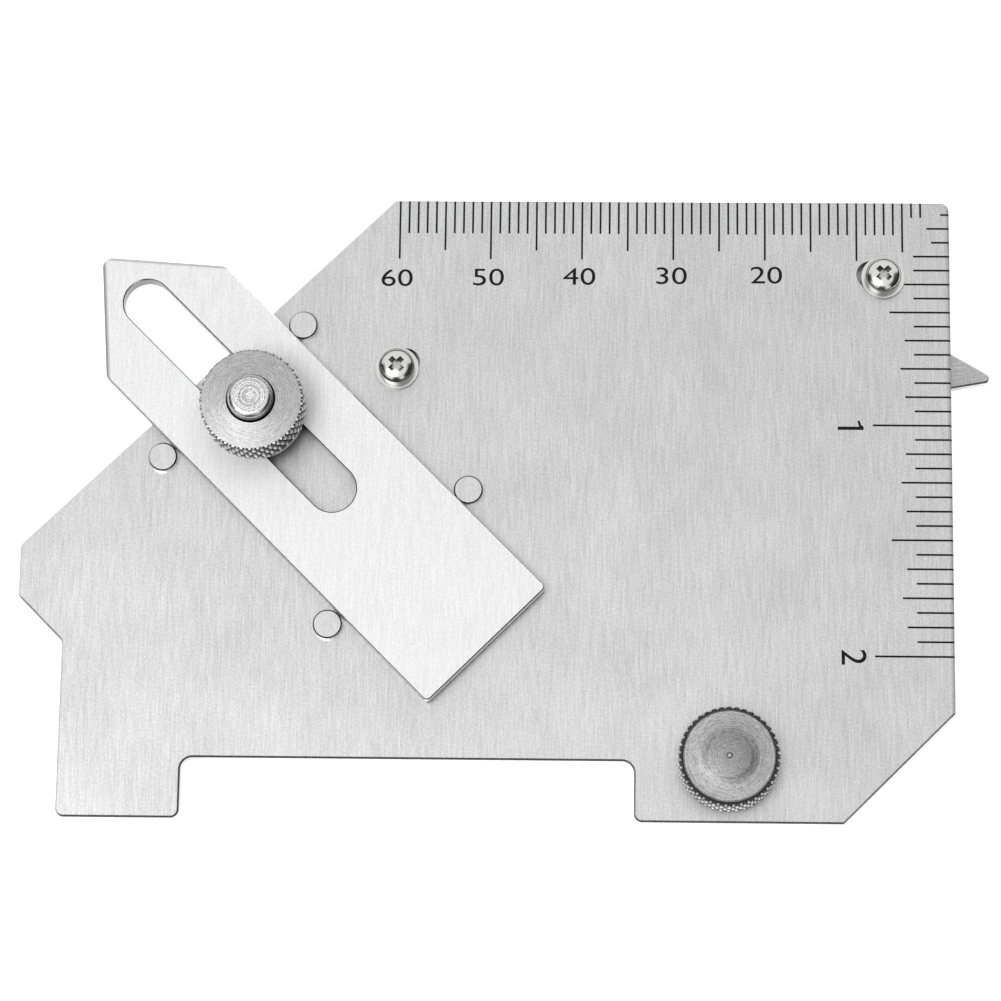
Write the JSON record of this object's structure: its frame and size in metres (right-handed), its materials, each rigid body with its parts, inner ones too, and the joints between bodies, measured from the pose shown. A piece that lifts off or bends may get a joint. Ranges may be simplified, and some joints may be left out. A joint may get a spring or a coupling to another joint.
{
  "type": "weld gauge",
  "caption": "Flat steel weld gauge: a bridge plate with engraved edge scales, a diagonal throat slider under a knurled clamp nut, and a pivoting ruler with an arc scale.",
  "frame": {"origin": "centre of the plate's overall rectangle, on the plate's underside", "axes": "+X along the long engraved scale, towards the edge that carries the short one, +Y towards the long scale's edge, away from the feet, +Z out of the engraved face, on the side of the knurled nut and screw"},
  "size_m": [0.1049, 0.0686, 0.0135],
  "materials": {
    "plate_steel": "satin stainless sheet with a fine straight grain",
    "slider_steel": "pale satin stainless sheet",
    "ruler_steel": "satin stainless sheet with a fine grain",
    "turned_steel": "turned and knurled bright steel",
    "knob_steel": "turned and knurled steel with a darker dished face",
    "nickel_fixings": "bright nickel plate"
  },
  "bodies": {
    "gauge_plate": {"main_plate": "plate_steel", "guide_pin_1": "turned_steel", "guide_pin_2": "turned_steel", "guide_pin_3": "turned_steel", "guide_pin_4": "turned_steel", "clamp_stud": "turned_steel", "clamp_washer": "turned_steel", "pivot_washer": "turned_steel"},
    "slider": {"throat_slider": "slider_steel"},
    "nut": {"clamp_nut": "turned_steel"},
    "ruler": {"multi_use_ruler": "ruler_steel", "pivot_bush": "turned_steel"},
    "pivot_knob": {"pivot_screw": "knob_steel"},
    "scale": {"arc_scale": "ruler_steel", "arc_screw_left": "nickel_fixings", "arc_screw_right": "nickel_fixings", "arc_washer_left": "nickel_fixings", "arc_washer_right": "nickel_fixings", "arc_lock_washer_left": "nickel_fixings", "arc_lock_washer_right": "nickel_fixings"}
  },
  "joints": [
    {"name": "slider_slide", "type": "slide", "parent": "gauge_plate", "child": "slider", "axis": [-0.7071, 0.7071, 0], "range_m": [-0.01714, 0.01209]},
    {"name": "nut_turn", "type": "hinge", "parent": "gauge_plate", "child": "nut", "pos_m": [-0.02507, 0.00979, 0], "axis": [0, 0, 1], "range_deg": [0, 360]},
    {"name": "ruler_swing", "type": "hinge", "parent": "gauge_plate", "child": "ruler", "pos_m": [0.02615, -0.0278, 0], "axis": [0, 0, 1], "continuous": true},
    {"name": "knob_turn", "type": "hinge", "parent": "ruler", "child": "pivot_knob", "pos_m": [0.02615, -0.0278, 0], "axis": [0, 0, 1], "range_deg": [0, 360]},
    {"name": "scale_trim", "type": "hinge", "parent": "gauge_plate", "child": "scale", "pos_m": [0.02615, -0.0278, 0], "axis": [0, 0, 1], "range_deg": [-0.8, 1.2]}
  ]
}
